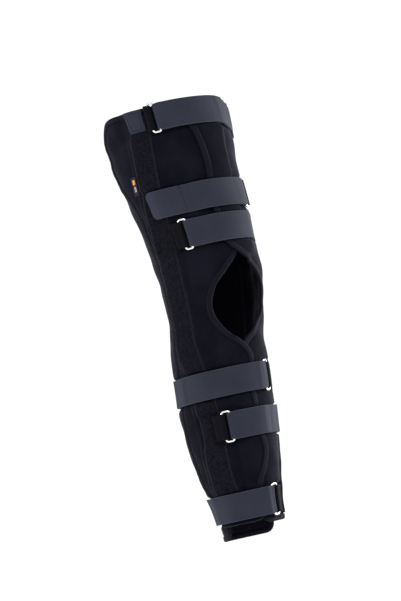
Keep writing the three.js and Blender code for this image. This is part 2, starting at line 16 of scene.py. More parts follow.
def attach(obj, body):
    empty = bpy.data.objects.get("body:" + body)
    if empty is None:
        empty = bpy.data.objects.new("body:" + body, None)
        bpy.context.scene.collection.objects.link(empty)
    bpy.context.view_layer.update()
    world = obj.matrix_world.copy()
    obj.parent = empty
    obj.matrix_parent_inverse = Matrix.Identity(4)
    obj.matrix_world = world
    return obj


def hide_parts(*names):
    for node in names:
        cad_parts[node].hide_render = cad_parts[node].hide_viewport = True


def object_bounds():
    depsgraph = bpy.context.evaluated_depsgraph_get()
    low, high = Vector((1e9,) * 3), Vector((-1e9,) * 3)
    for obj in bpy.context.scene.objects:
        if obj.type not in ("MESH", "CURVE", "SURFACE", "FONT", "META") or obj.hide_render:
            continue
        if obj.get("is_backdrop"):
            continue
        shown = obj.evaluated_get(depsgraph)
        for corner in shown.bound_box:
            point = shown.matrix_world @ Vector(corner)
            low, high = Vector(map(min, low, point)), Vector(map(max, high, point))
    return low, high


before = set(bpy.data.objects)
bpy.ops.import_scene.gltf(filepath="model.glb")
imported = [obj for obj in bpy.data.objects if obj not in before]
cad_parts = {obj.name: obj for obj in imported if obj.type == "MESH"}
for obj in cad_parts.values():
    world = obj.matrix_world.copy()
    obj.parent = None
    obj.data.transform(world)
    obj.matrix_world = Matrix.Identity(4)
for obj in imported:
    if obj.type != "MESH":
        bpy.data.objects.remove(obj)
cad_low, cad_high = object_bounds()
MM = 0.001
print("solids:", len(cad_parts), "box:", [round(v, 3) for v in (*cad_low, *cad_high)])

# %% [markdown]
# ## The leg under the brace
# A soft brace takes its shape from the leg, so everything here is placed by an angle round the leg, a
# height and a distance outside it. Angle 0 is the front and plus is the inner side. A table of
# sections, in shares of the sizes in millimetres, is simpler than a sculpted leg. A smooth curve
# through each column gives a value at every height.
# %% Sections of the leg
BRACE_LENGTH = 586
LOWER_REACH = 315
UPPER_REACH = BRACE_LENGTH - LOWER_REACH
THIGH_HALF_WIDTH = 83
THIGH_HALF_DEPTH = 85
KNEE_SHIFT = 18
CALF_SAG = 9

# up, side, back, wide, deep
LEG = (
    (-0.60, -1.00, 0.3, 0.41, 0.44), (-0.50, -1.00, 0.5, 0.47, 0.505),
    (-0.43, -1.03, 0.6, 0.575, 0.605), (-0.36, -0.95, 0.8, 0.66, 0.685),
    (-0.27, -0.77, 1.0, 0.715, 0.735), (-0.20, -0.55, 1.0, 0.722, 0.755),
    (-0.11, -0.45, 0.7, 0.72, 0.74), (-0.035, -0.03, 0.3, 0.735, 0.75),
    (0.045, 0.10, 0.0, 0.79, 0.805), (0.12, -0.08, -0.1, 0.815, 0.82),
    (0.205, -0.35, -0.2, 0.865, 0.87), (0.305, -0.85, -0.2, 0.92, 0.93),
    (0.41, -0.95, 0.0, 1.00, 1.00), (0.50, -1.05, 0.2, 1.01, 1.01),
)
print("sections:", len(LEG))

# %% Read a table
def smooth(t):
    s = np.clip(t, 0, 1)
    return s * s * (3 - 2 * s)


def curve(rows, column):
    """A smooth curve through one column of a table, read at heights in millimetres."""
    heights = np.array([row[0] for row in rows]) * BRACE_LENGTH
    values = np.array([row[column] for row in rows], float)
    near = np.arange(len(rows))
    before, after = np.maximum(near - 1, 0), np.minimum(near + 1, len(rows) - 1)
    slopes = (values[after] - values[before]) / (heights[after] - heights[before])

    def read(z):
        z = np.asarray(z, float)
        k = np.clip(np.searchsorted(heights, z, side="right") - 1, 0, len(rows) - 2)
        span = heights[k + 1] - heights[k]
        s = np.clip((z - heights[k]) / span, 0, 1)
        return (
            (2 * s**3 - 3 * s**2 + 1) * values[k] + (s**3 - 2 * s**2 + s) * span * slopes[k]
            + (3 * s**2 - 2 * s**3) * values[k + 1] + (s**3 - s**2) * span * slopes[k + 1]
        )

    return read


leg_side, leg_back, leg_wide, leg_deep = (curve(LEG, column) for column in (1, 2, 3, 4))
print("half width at the knee:", round(float(leg_wide(0)) * THIGH_HALF_WIDTH))

# %% From angle and height to a point
TOP_FALL = 14
FALL_FROM, FALL_TO, FALL_BLEND = 5, 230, 75


def radius_at(z):
    return 0.5 * (leg_wide(z) * THIGH_HALF_WIDTH + leg_deep(z) * THIGH_HALF_DEPTH)


def degrees_for(length, z):
    return np.degrees(length / radius_at(z))


def on_leg(angle, z, out):
    """Points in metres, from angles, heights and distances outside the leg."""
    a = np.radians(angle)
    x = leg_side(z) * KNEE_SHIFT + (leg_wide(z) * THIGH_HALF_WIDTH + out) * np.sin(a)
    y = leg_back(z) * CALF_SAG - (leg_deep(z) * THIGH_HALF_DEPTH + out) * np.cos(a)
    return np.stack(np.broadcast_arrays(x, y, z), -1) * MM


def fall_at(angle):
    return TOP_FALL * smooth((angle - FALL_FROM) / FALL_BLEND) * smooth((FALL_TO - angle) / FALL_BLEND)


def slanted(angle, z):
    return z - fall_at(angle) * smooth(2 * z / UPPER_REACH - 1)


print("radius at thigh, knee and ankle:", [round(float(radius_at(z)), 1) for z in (250, 0, -300)])

# %% [markdown]
# ## The edges of the panels
# The side panels meet in front, part round the kneecap and end behind on the rear panel, each with a
# loop strip near that end. Every edge is a line of angles, one for each height.
# %% Edges
# up, angle
LATERAL_REAR = (
    (-0.54, -106), (-0.35, -104), (-0.16, -100), (-0.10, -96), (0.0, -100), (0.20, -100),
    (0.26, -103), (0.31, -112), (0.38, -111), (0.46, -102),
)
LATERAL_FRONT = (
    (-0.54, -8), (-0.455, -7), (-0.42, 3), (-0.385, 8), (-0.345, 5), (-0.28, 2), (-0.25, 1),
    (-0.185, 4.5), (-0.15, 3), (-0.127, -4), (-0.083, -26), (-0.05, -37.5), (-0.02, -40),
    (0.02, -32), (0.053, -16), (0.087, 0), (0.125, 10), (0.20, 14), (0.46, 12),
)
MEDIAL_FRONT = (
    (-0.54, -16), (-0.42, -22), (-0.25, -20), (-0.17, -16), (-0.127, -4), (-0.103, 11),
    (-0.07, 29), (-0.04, 39), (-0.005, 43), (0.027, 33), (0.055, 18), (0.087, 0), (0.115, -11),
    (0.19, -15.5), (0.27, -12), (0.31, -10.5), (0.37, -14), (0.42, -20), (0.46, -24),
)
MEDIAL_REAR = ((-0.54, 118), (-0.3, 112), (0.0, 112), (0.46, 108))
LATERAL_STRIP = (
    (-0.54, -62), (-0.42, -62), (-0.31, -58), (-0.21, -63), (-0.15, -69), (-0.06, -77),
    (0.0, -79.5), (0.11, -77), (0.18, -75), (0.30, -66), (0.39, -61), (0.46, -60),
)
MEDIAL_STRIP = ((-0.54, 70), (-0.3, 80), (-0.15, 84), (0.0, 88), (0.20, 87), (0.46, 82))

lateral_rear, lateral_front = curve(LATERAL_REAR, 1), curve(LATERAL_FRONT, 1)
medial_front, medial_rear = curve(MEDIAL_FRONT, 1), curve(MEDIAL_REAR, 1)
lateral_strip, medial_strip = curve(LATERAL_STRIP, 1), curve(MEDIAL_STRIP, 1)
print("opening:", round(float(medial_front(0) - lateral_front(0))), "degrees wide")

# %% [markdown]
# ## How the layers lie
# The side panels climb over the rear one under their loop strips, where a pocket holds the side stay.
# In front they cross twice: the inner one lies on top above the kneecap opening and the outer one
# below it. Each layer's inner and outer face is one function of angle and height, so pieces that touch
# can't cut through one another.
# %% Layers
PANEL = 4.5
LAYER_GAP = 0.8
STRIP_WIDTH = 27
OPENING_TOP = 0.087
OPENING_BOTTOM = -0.127
OVERLAP_MARGIN, OVERLAP_RAMP = 4, 10
TIP_MARGIN, TIP_RAMP, TIP_REACH = 14, 14, 40
STAY_RISE = 2.4
POCKET_MARGIN, POCKET_RAMP = 7, 5


def strip_half(z):
    return degrees_for(STRIP_WIDTH / 2, z)


def tip_spare(tip, z, least, more):
    """A length in degrees that grows near the tip where the two side panels swap their order."""
    near = smooth(1 - np.abs(z - tip * BRACE_LENGTH) / TIP_REACH)
    return degrees_for(least + more * near, z)


def climb(angle, ground, crest):
    return (PANEL + LAYER_GAP) * smooth((angle - ground) / (crest - ground))


def side_base(strip, other_front, tip, sign):
    """What a side panel lies on. The outer one is the mirror image of the inner one."""

    def base(angle, z):
        middle, half = strip(z), sign * strip_half(z)
        crest = other_front(z) + sign * tip_spare(tip, z, OVERLAP_MARGIN, TIP_MARGIN)
        front = climb(angle, crest + sign * tip_spare(tip, z, OVERLAP_RAMP, TIP_RAMP), crest)
        return climb(angle, middle - half, middle + half) + np.where(sign * z > 0, front, 0)

    return base


lateral_base = side_base(lateral_strip, medial_front, OPENING_BOTTOM, -1)
medial_base = side_base(medial_strip, lateral_front, OPENING_TOP, 1)


def pocket(middle, angle, z):
    off = np.abs(np.radians(angle - middle(z))) * radius_at(z)
    return STAY_RISE * smooth((STRIP_WIDTH / 2 + POCKET_MARGIN - off) / POCKET_RAMP)


print("climb onto a panel:", PANEL + LAYER_GAP)

# %% Panels
LATERAL_TAIL = 3
MEDIAL_TAIL = 8
REAR_TAIL = 22
REAR_TOP_DROP = 20


class Panel(namedtuple("Panel", "name first last bottom top base strip", defaults=(None,))):
    """One padded panel: its two side edges, its lowest and highest line and its two faces."""

    def face(self, angle, z):
        raised = pocket(self.strip, angle, z) if self.strip else 0
        return self.base(angle, z) + PANEL + raised


PANELS = (
    Panel(
        "lateral", lateral_rear, lateral_front, -LOWER_REACH - LATERAL_TAIL, UPPER_REACH,
        lateral_base, lateral_strip,
    ),
    Panel(
        "medial", medial_front, medial_rear, -LOWER_REACH - MEDIAL_TAIL, UPPER_REACH,
        medial_base, medial_strip,
    ),
    Panel(
        "rear",
        lambda z: medial_strip(z) + strip_half(z) + degrees_for(OVERLAP_MARGIN, z),
        lambda z: lateral_strip(z) - strip_half(z) - degrees_for(OVERLAP_MARGIN, z) + 360,
        -LOWER_REACH - REAR_TAIL, UPPER_REACH - REAR_TOP_DROP,
        lambda angle, z: 0 * (angle + z),
    ),
)
print("panels:", [panel.name for panel in PANELS])

# %% [markdown]
# ## Soft foam between tight straps
# A strap squeezes the foam, and between two straps it swells out a little and ripples. A simulation
# could find that, but thin layers under tension cut through one another in it. Here it is one small
# push outwards for every layer, so they stay in order. Under a strap it turns into a push inwards,
# which the strap follows. The ripples are a sum of waves that close on themselves round the leg.
# %% Ripples
RIPPLE_WAVES = 9
rng = np.random.default_rng(7)
ripple_waves = [
    (int(rng.integers(2, 11)), rng.uniform(30, 75), rng.uniform(0, 2 * math.pi))
    for wave in range(RIPPLE_WAVES)
]


def ripples(angle, z):
    a = np.radians(angle)
    total = sum(
        np.sin(turns * a + 2 * math.pi * z / length + phase) for turns, length, phase in ripple_waves
    )
    return total / RIPPLE_WAVES**0.5


print("a ripple:", round(float(ripples(0, 200)), 2))

# %% [markdown]
# ## Where the straps pass
# One table lists the straps from the top down: height, angles of the ring, the sewn end and the free
# end, share of the top edge's fall, and length of the ring's webbing as a share.
# %% Straps and swell
STRAP_WIDTH = 38
SWELL = 1.9
RIPPLE = 0.5
SQUEEZE = 1.8
SQUEEZE_REACH = 5
RING_CALM = 5
RING_NEAR = 12
RING_SHADOW = 34
END_SOFTNESS = 0.6
Strap = namedtuple("Strap", "up ring start end fall holder")
STRAPS = tuple(Strap(*row) for row in (
    (0.432, -41.5, 100, 72, 1, 0.5), (0.232, 37, -64, -75, 0, 1), (0.151, -46.5, 150, 98, 0, 1),
    (-0.209, 23, -165, -134, 0, 1), (-0.313, -35, 150, 100, 0, 1), (-0.501, 10, -165, -132, 0, 1),
))


def strap_height(strap):
    """The height of a strap's middle line, to be read at any angle."""
    return lambda angle: strap.up * BRACE_LENGTH - strap.fall * fall_at(angle)


def freedom(angle, z):
    """0 under a strap and 1 well away from all of them."""
    a = (np.asarray(angle) + 180) % 360 - 180
    free = np.ones(np.broadcast(a, z).shape)
    for strap in STRAPS:
        reach = math.copysign(RING_SHADOW, strap.ring - strap.end)
        ends = (strap.ring + reach, strap.start, strap.end)
        away = np.abs(z - strap_height(strap)(a)) - STRAP_WIDTH / 2
        aside = np.maximum(min(ends) - a, a - max(ends)) * END_SOFTNESS
        slack = SQUEEZE_REACH + RING_CALM * smooth(2 - np.abs(a - strap.ring) / RING_NEAR)
        free = free * smooth(np.maximum(away, aside) / slack)
    return free


def swell(angle, z):
    free = freedom(angle, z)
    return free * (SWELL + RIPPLE * ripples(angle, z)) - (1 - free) * SQUEEZE


def on_cloth(angle, z, out):
    return on_leg(angle, z, out + swell(angle, z))


def on_strap(angle, z, out):
    return on_leg(angle, z, out - SQUEEZE)


print("swell between the two thigh straps:", round(float(swell(-90.0, 200.0)), 2), "mm")

# %% [markdown]
# ## From a grid to a piece
# Almost every part of the brace is a strip or a sheet, so each starts as a flat bmesh grid whose
# columns and rows are then moved to their place. A sheet gets its second face by extruding the grid. A
# strap or cord is a grid rolled up: its first and last lines land on each other and are merged. A UV
# map in metres is laid before that, so that the weave follows the cloth.
# %% Grid helper
UV = "along"


def grid_mesh(name, columns, rows, place, pattern=None, thick=False):
    """A mesh from a grid. place turns column, row and layer numbers into points in metres."""
    bm = bmesh.new()
    uv = bm.loops.layers.uv.new(UV)
    bmesh.ops.create_grid(bm, x_segments=columns, y_segments=rows, size=0.5)
    if thick:
        grown = bmesh.ops.extrude_face_region(bm, geom=bm.faces[:], use_keep_orig=True)
        upper = [part for part in grown["geom"] if isinstance(part, bmesh.types.BMVert)]
        bmesh.ops.translate(bm, verts=upper, vec=(0, 0, 1))
    at = np.array([vert.co for vert in bm.verts])
    i = np.rint((at[:, 0] + 0.5) * columns).astype(int)
    j = np.rint((at[:, 1] + 0.5) * rows).astype(int)
    layer = np.rint(at[:, 2]).astype(int)
    places = place(i, j, layer)
    flat = pattern(i, j) if pattern else np.stack([i, j], -1) * MM
    bm.verts.index_update()
    for face in bm.faces:
        for loop in face.loops:
            loop[uv].uv = flat[loop.vert.index]
    for vert, point in zip(bm.verts, places):
        vert.co = point
    bmesh.ops.remove_doubles(bm, verts=bm.verts[:], dist=1e-6)
    ends = [edge for edge in bm.edges if edge.is_boundary]
    if ends:
        bmesh.ops.holes_fill(bm, edges=ends, sides=0)
    bmesh.ops.recalc_face_normals(bm, faces=bm.faces[:])
    if bm.calc_volume(signed=True) < 0:
        bmesh.ops.reverse_faces(bm, faces=bm.faces[:])
    mesh = bpy.data.meshes.new(name)
    bm.to_mesh(mesh)
    bm.free()
    mesh.shade_smooth()
    return mesh


def add_object(name, data):
    thing = bpy.data.objects.new(name, data)
    bpy.context.scene.collection.objects.link(thing)
    return thing


def piece(name, mesh, slot, finish, *nodes):
    """An object that rides on the brace and stands for the named solids."""
    thing = add_object(name, mesh)
    mesh.materials.append(finish)
    if nodes:
        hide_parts(*nodes)
    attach(thing, "root")
    print(name, len(mesh.polygons), "faces")
    return thing


# %% [markdown]
# ## Shader maths
# A finish is a handful of nodes. The small class below lets a socket be used like a number, so that a
# weave reads as a formula, and one method makes any other node.
# %% Finish helper
class Worked:
    """A socket that can be added, multiplied and compared as a number."""

    def __init__(self, finish, socket):
        self.finish, self.socket = finish, socket

    def math(self, operation, *values):
        return self.finish.node("ShaderNodeMath", {"operation": operation}, *values)

    def __add__(self, other):
        return self.math("ADD", self, other)

    __radd__ = __add__

    def __mul__(self, other):
        return self.math("MULTIPLY", self, other)

    __rmul__ = __mul__

    def __sub__(self, other):
        return self.math("SUBTRACT", self, other)

    def __rsub__(self, other):
        return self.math("SUBTRACT", other, self)

    def __abs__(self):
        return self.math("ABSOLUTE", self)

    def wave(self, pitch):
        """A wave from 0 to 1 over each pitch, in metres."""
        return self.math("SINE", self * (2 * math.pi / pitch)) * 0.5 + 0.5

    def between(self, low, high):
        return self.finish.node(
            "ShaderNodeMapRange", {"interpolation_type": "SMOOTHSTEP"}, self, low, high, 0.0, 1.0
        )


class Finish:
    """A Principled material with its own node tree."""

    def __init__(self, name, **constants):
        self.material = bpy.data.materials.new(name)
        self.material.use_nodes = True
        self.nodes, self.links = self.material.node_tree.nodes, self.material.node_tree.links
        self.shader = self.nodes["Principled BSDF"]
        for socket, value in constants.items():
            self.shader.inputs[socket.replace("_", " ")].default_value = value

    def feed(self, socket, value):
        if isinstance(value, Worked):
            self.links.new(value.socket, socket)
        else:
            socket.default_value = value

    def node(self, kind, settings, *values, out=0, **named):
        node = self.nodes.new(kind)
        for key, value in settings.items():
            setattr(node, key, value)
        for k, value in enumerate(values):
            self.feed(node.inputs[k], value)
        for key, value in named.items():
            self.feed(node.inputs[key.replace("_", " ")], value)
        return Worked(self, node.outputs[out])

    def noise(self, place, scale, detail=2.0, roughness=0.5):
        return self.node(
            "ShaderNodeTexNoise", {}, Vector=place, Scale=scale, Detail=detail, Roughness=roughness
        )

    def lengths(self):
        """How far a point is along the cloth, and how far across it."""
        parts = self.node("ShaderNodeSeparateXYZ", {}, self.cloth())
        return [Worked(self, socket) for socket in parts.socket.node.outputs[:2]]

    def tint(self, share, dark, light):
        mixed = self.nodes.new("ShaderNodeMix")
        mixed.data_type = "RGBA"
        self.feed(mixed.inputs["Factor"], share)
        for socket, colour in ((mixed.inputs[6], dark), (mixed.inputs[7], light)):
            self.feed(socket, colour if isinstance(colour, Worked) else (*colour, 1))
        return Worked(self, mixed.outputs[2])

    def bump(self, height, distance, strength=1.0, normal=None):
        more = {} if normal is None else {"Normal": normal}
        return self.node(
            "ShaderNodeBump", {}, Strength=strength, Distance=distance, Height=height, **more
        )

    def wear(self, colour, roughness=None, normal=None):
        for name, value in (("Base Color", colour), ("Roughness", roughness), ("Normal", normal)):
            if value is not None:
                self.feed(self.shader.inputs[name], value)
        return self.material

    def cloth(self):
        return self.node("ShaderNodeUVMap", {"uv_map": UV})

    def room(self):
        return self.node("ShaderNodeTexCoord", {}, out=3)


# %% [markdown]
# ## Finishes
# The panels are foam faced with a fine black knit. The tape is a ribbed weave, the strips are loop
# pile, and the straps are a brushed slate-grey cloth that catches light at a slant, which a little
# sheen gives. Colour and bump follow the cloth by its UV map, and slow variation reads the object's
# own coordinates.
# %% Cloth finishes
def knit_finish():
    f = Finish(
        "padded knit", Specular_IOR_Level=0.025, Sheen_Weight=0.15, Sheen_Roughness=0.27,
        Sheen_Tint=(0.78, 0.78, 1.0, 1),
    )
    u, v = f.lengths()
    wales = u.wave(0.0013)
    courses = (v + wales * 0.00045).wave(0.0011)
    stitch = wales * courses
    slow = f.noise(f.room(), 28.0, 3.0)
    lint = f.noise(f.room(), 900.0, 1.0)
    shade = slow.between(0.3, 0.75) * 0.7 + stitch * 0.3
    colour = f.tint(shade, (0.0030, 0.0030, 0.0057), (0.0070, 0.0069, 0.0126))
    soft = f.bump(slow, 0.0012, 0.6)
    return f.wear(colour, lint * 0.16 + 0.8, f.bump(stitch + lint * 0.5, 0.00022, 0.7, soft))


def tape_finish():
    f = Finish(
        "edge tape", Specular_IOR_Level=0.05, Sheen_Weight=0.04, Sheen_Roughness=0.2,
        Sheen_Tint=(0.8, 0.8, 0.95, 1),
    )
    u, v = f.lengths()
    ribs = u.wave(0.0011)
    weave = ribs * 0.7 + v.wave(0.0009) * 0.3
    slow = f.noise(f.room(), 60.0)
    colour = f.tint(weave * 0.6 + slow * 0.4, (0.0028, 0.0029, 0.0058), (0.0062, 0.0064, 0.0120))
    return f.wear(colour, slow * 0.2 + 0.62, f.bump(weave, 0.0002, 0.8))


def pile_finish():
    f = Finish("loop pile", Specular_IOR_Level=0.025, Sheen_Weight=0.09, Sheen_Roughness=0.25)
    curls = f.noise(f.room(), 1300.0, 3.0, 0.7)
    tufts = f.noise(f.room(), 260.0, 2.0)
    shade = curls.between(0.35, 0.7) * 0.6 + tufts.between(0.3, 0.7) * 0.4
    curled = f.tint(shade, (0.0014, 0.0014, 0.0027), (0.0108, 0.0106, 0.0160))
    border = abs(f.lengths()[0]).between(0.0110, 0.0118)
    colour = f.tint(border, curled, (0.0092, 0.0092, 0.0145))
    return f.wear(colour, 0.95, f.bump((curls + tufts) * (1.0 - border * 0.8), 0.0006, 1.0))


def strap_finish():
    f = Finish(
        "brushed strap", Specular_IOR_Level=0.06, Sheen_Weight=0.085, Sheen_Roughness=0.22,
        Sheen_Tint=(0.86, 0.88, 1.0, 1),
    )
    u, v = f.lengths()
    grain = f.noise(f.room(), 1500.0, 2.0, 0.6)
    drawn = f.node("ShaderNodeVectorMath", {"operation": "MULTIPLY"}, f.cloth(), (1.0, 6.0, 1.0))
    brushed = f.noise(drawn, 90.0, 3.0)
    slow = f.noise(f.room(), 22.0, 2.0)
    shade = grain.between(0.3, 0.7) * 0.4 + brushed.between(0.2, 0.8) * 0.2
    shade = shade + slow.between(0.3, 0.7) * 0.4
    cloth = f.tint(shade, (0.0166, 0.0184, 0.0283), (0.0238, 0.0263, 0.0396))
    # Painted highlight: a thin lighter line is painted along both edges of each strap, where light
    # catches the rim.
    border = abs(v).between(0.0180, 0.0188)
    colour = f.tint(border * 0.8, cloth, (0.0400, 0.0450, 0.0600))
    ribs = u.wave(0.0012) * v.wave(0.0012)
    soft = f.bump(slow, 0.0008, 0.5)
    return f.wear(colour, grain * 0.2 + 0.62, f.bump(ribs * 0.5 + grain, 0.00016, 0.7, soft))


knit, tape, pile, brushed = knit_finish(), tape_finish(), pile_finish(), strap_finish()
print("cloths:", [material.name for material in (knit, tape, pile, brushed)])

# %% Finishes of the webbing, the thread and the wire
def webbing_finish():
    f = Finish("ring webbing", Specular_IOR_Level=0.03, Sheen_Weight=0.01)
    u, v = f.lengths()
    ribs, cross = u.wave(0.0018), v.wave(0.0012)
    colour = f.tint(ribs * 0.7 + cross * 0.3, (0.0013, 0.0013, 0.0024), (0.0050, 0.0050, 0.0076))
    return f.wear(colour, cross * 0.15 + 0.55, f.bump(ribs + cross * 0.4, 0.00035, 0.9))


def thread_finish():
    f = Finish("thread", Specular_IOR_Level=0.06)
    twist = f.noise(f.room(), 1800.0, 1.0)
    colour = f.tint(twist, (0.0030, 0.0030, 0.0050), (0.0085, 0.0085, 0.0130))
    return f.wear(colour, 0.55, f.bump(twist, 0.0001, 0.5))


def wire_finish():
    f = Finish("nickel wire", Metallic=1.0)
    haze = f.noise(f.room(), 120.0, 3.0)
    scratches = f.noise(f.room(), 1400.0, 2.0)
    colour = f.tint(haze.between(0.3, 0.7), (0.66, 0.655, 0.64), (0.80, 0.795, 0.78))
    return f.wear(colour, haze * 0.12 + scratches * 0.06 + 0.1, f.bump(scratches, 0.00004, 0.5))


webbing, thread, nickel = webbing_finish(), thread_finish(), wire_finish()
print("finishes:", len(bpy.data.materials))

# %% [markdown]
# ## The panels
# Each panel is a sheet of foam between two knit faces. It could be cut from a block, but the cloth
# follows the leg, so a grid is laid over its outline, with round corners at the top and bottom, and
# extruded to its inner face. Near the tape the foam is pinched down, which leaves the groove that
# outlines every panel.
# %% Outline of a panel
TAPE_WIDTH = 7.5
TOP_CORNER, BOTTOM_CORNER, CORNER_ROWS = 24, 13, 7
CELL = 3.0
SLOPE_SPAN = 4
RIM_COLUMNS, RIM_BAND = (0, 0.9, 1.8, 2.8, 4.0, 5.5), 7.5


def row_heights(panel, inset):
    def corner(radius):
        return (radius - inset) * (1 - np.cos(np.linspace(0, math.pi / 2, CORNER_ROWS)))

    low = panel.bottom + inset + corner(BOTTOM_CORNER)
    high = (panel.top - inset - corner(TOP_CORNER))[::-1]
    count = round((high[0] - low[-1]) / CELL)
    return np.concatenate([low, np.linspace(low[-1], high[0], count + 1)[1:-1], high])


def corner_pull(panel, inset, z):
    def pull(radius, near):
        round_off = radius - np.sqrt(np.maximum(0, radius**2 - (radius - near) ** 2))
        return np.where(near >= radius, 0, round_off)

    return (
        pull(BOTTOM_CORNER - inset, z - panel.bottom - inset)
        + pull(TOP_CORNER - inset, panel.top - inset - z)
    )


def panel_grid(panel, inset):
    """Angles and heights of a panel's rows and columns, out to a line one inset inside its rim."""
    z = row_heights(panel, inset)

    def edge(line, sense):
        turn = (line(z + SLOPE_SPAN) - line(z - SLOPE_SPAN)) / (2 * SLOPE_SPAN)
        slope = turn * np.radians(1) * radius_at(z)
        pulled = corner_pull(panel, inset, z) + inset * np.hypot(1, slope)
        return line(z) + sense * degrees_for(pulled, z)

    first, last = edge(panel.first, 1), edge(panel.last, -1)
    width = float(np.max(np.radians(last - first) * radius_at(z)))
    near, rim = np.array(RIM_COLUMNS) / width, RIM_BAND / width
    shares = np.concatenate([near, np.linspace(rim, 1 - rim, round(width / CELL)), 1 - near[::-1]])
    angle = first[:, None] + (last - first)[:, None] * shares
    return angle, slanted(angle, z[:, None])


def border_of(grid):
    return np.concatenate([grid[0, :-1], grid[:-1, -1], grid[-1, :0:-1], grid[:0:-1, 0]])


def to_border(angle, z, border_angle, border_z):
    """Distance of each point from a closed line, in millimetres along the cloth."""
    away = np.empty(angle.shape)
    for j in range(len(angle)):
        across = np.radians(angle[j][:, None] - border_angle) * radius_at(z[j])[:, None]
        away[j] = np.sqrt(np.min(across**2 + (z[j][:, None] - border_z) ** 2, axis=1))
    return away


print("rows and columns:", [panel_grid(panel, TAPE_WIDTH)[0].shape for panel in PANELS])

# %% Make the panels
TONGUE = 2.4
PINCH, INNER_PINCH, PINCH_REACH = 1.3, 1.0, 2.2
CROWN, PRESSED_CROWN = 0.3, 0.15
CROWN_START, CROWN_REACH = 3, 14
WEAVE_RADIUS = 70


def panel_mesh(panel):
    angle, z = panel_grid(panel, TAPE_WIDTH - TONGUE)
    inward = to_border(angle, z, border_of(angle), border_of(z)) - TONGUE
    pinch = PINCH * np.exp(-np.maximum(inward, 0) / PINCH_REACH)
    crown = np.where(freedom(angle, z) > 0.5, CROWN, PRESSED_CROWN)
    face = panel.face(angle, z) - pinch + crown * smooth((inward - CROWN_START) / CROWN_REACH)
    base = panel.base(angle, z) + np.minimum(pinch, INNER_PINCH)

    def place(i, j, layer):
        return on_cloth(angle[j, i], z[j, i], np.where(layer > 0, face[j, i], base[j, i]))

    def pattern(i, j):
        return np.stack([np.radians(angle[j, i]) * WEAVE_RADIUS, z[j, i]], -1) * MM

    rows, columns = angle.shape
    return grid_mesh(panel.name + "_padding", columns - 1, rows - 1, place, pattern, thick=True)


for panel in PANELS:
    thing = piece(
        panel.name + "_padding", panel_mesh(panel), "padded_knit", knit, panel.name + "_panel"
    )

# %% [markdown]
# ## Edge tape
# A tape is folded over each panel's rim and sewn through. Its section is a flattened U with a soft
# rounded edge. A grid is swept along the rim and closed both ways.
# %% The line of a rim
TAPE_STEP = 2.5
RIM_SMOOTHING = 3
Line = namedtuple("Line", "angle z s across rise")


def even_line(angle, z, step, closed=False):
    """The same line with even steps along the cloth, and its direction at each point."""
    if closed:
        angle, z = np.append(angle, angle[0]), np.append(z, z[0])
    length = np.hypot(np.radians(np.diff(angle)) * radius_at(z[1:]), np.diff(z))
    far = np.concatenate([[0], np.cumsum(length)])
    s = np.linspace(0, far[-1], max(2, round(far[-1] / step)) + 1)
    angle, z = np.interp(s, far, angle), np.interp(s, far, z)
    if closed:
        angle, z, s = angle[:-1], z[:-1], s[:-1]
        after, before = np.roll(np.arange(len(s)), -1), np.roll(np.arange(len(s)), 1)
    else:
        after = np.minimum(np.arange(len(s)) + 1, len(s) - 1)
        before = np.maximum(np.arange(len(s)) - 1, 0)
    across = np.radians(angle[after] - angle[before]) * radius_at(z)
    rise = z[after] - z[before]
    long = np.hypot(across, rise)
    return Line(angle, z, s, across / long, rise / long)


def rim_line(panel):
    angle, z = panel_grid(panel, TAPE_WIDTH)
    line = even_line(border_of(angle), border_of(z), TAPE_STEP, closed=True)
    across, rise = line.across, line.rise
    for turn in range(RIM_SMOOTHING):
        across = (np.roll(across, 1) + 2 * across + np.roll(across, -1)) / 4
        rise = (np.roll(rise, 1) + 2 * rise + np.roll(rise, -1)) / 4
    long = np.hypot(across, rise)
    return line._replace(across=across / long, rise=rise / long)


def tape_point(line, k, inward):
    """Angle and height at a distance inwards from the rim, beside point k of the seam line."""
    out = TAPE_WIDTH - inward
    angle = line.angle[k] + degrees_for(line.rise[k] * out, line.z[k])
    return angle, line.z[k] - line.across[k] * out


print("rims:", [round(float(rim_line(panel).s[-1])) for panel in PANELS], "mm")

# %% Make the tapes
STITCH = 3.2
PUCKER = 0.12
TAPE_WEAVE = 1.1

# inward as a share of the tape's width, level from the inner to the outer face, lift in millimetres
TAPE_SECTION = (
    (1.03, 1, -0.55), (1.03, 1, -0.05), (0.97, 1, 0.16), (0.82, 1, 0.26), (0.62, 1, 0.22),
    (0.40, 1, 0.28), (0.20, 1, 0.16), (0.07, 1, -0.35), (0, 0.68, 0), (-0.02, 0.5, 0), (0, 0.32, 0),
    (0.07, 0, 0.35), (0.22, 0, 0), (0.60, 0, -0.1), (0.98, 0, -0.05), (0.98, 0, 0.6), (0.50, 0, 0.7),
    (0.22, 0, 0.9), (0.22, 1, -0.9), (0.50, 1, -0.6),
)


def tape_mesh(panel):
    line, section = rim_line(panel), np.array(TAPE_SECTION)
    count = len(line.s)

    def place(i, j, layer):
        k, row = i % count, section[j % len(section)]
        a, z = tape_point(line, k, row[:, 0] * TAPE_WIDTH)
        base, face = panel.base(a, z), panel.face(a, z)
        pucker = PUCKER * np.sin(line.s[k] * 2 * math.pi / STITCH) * (row[:, 1] == 1)
        return on_cloth(a, z, base + (face - base) * row[:, 1] + row[:, 2] + pucker)

    def pattern(i, j):
        return np.stack([i * TAPE_STEP, j * TAPE_WEAVE], -1) * MM

    return grid_mesh(panel.name + "_tape", count, len(section), place, pattern)


for panel in PANELS:
    piece(panel.name + "_tape", tape_mesh(panel), "edge_tape", tape, panel.name + "_binding")

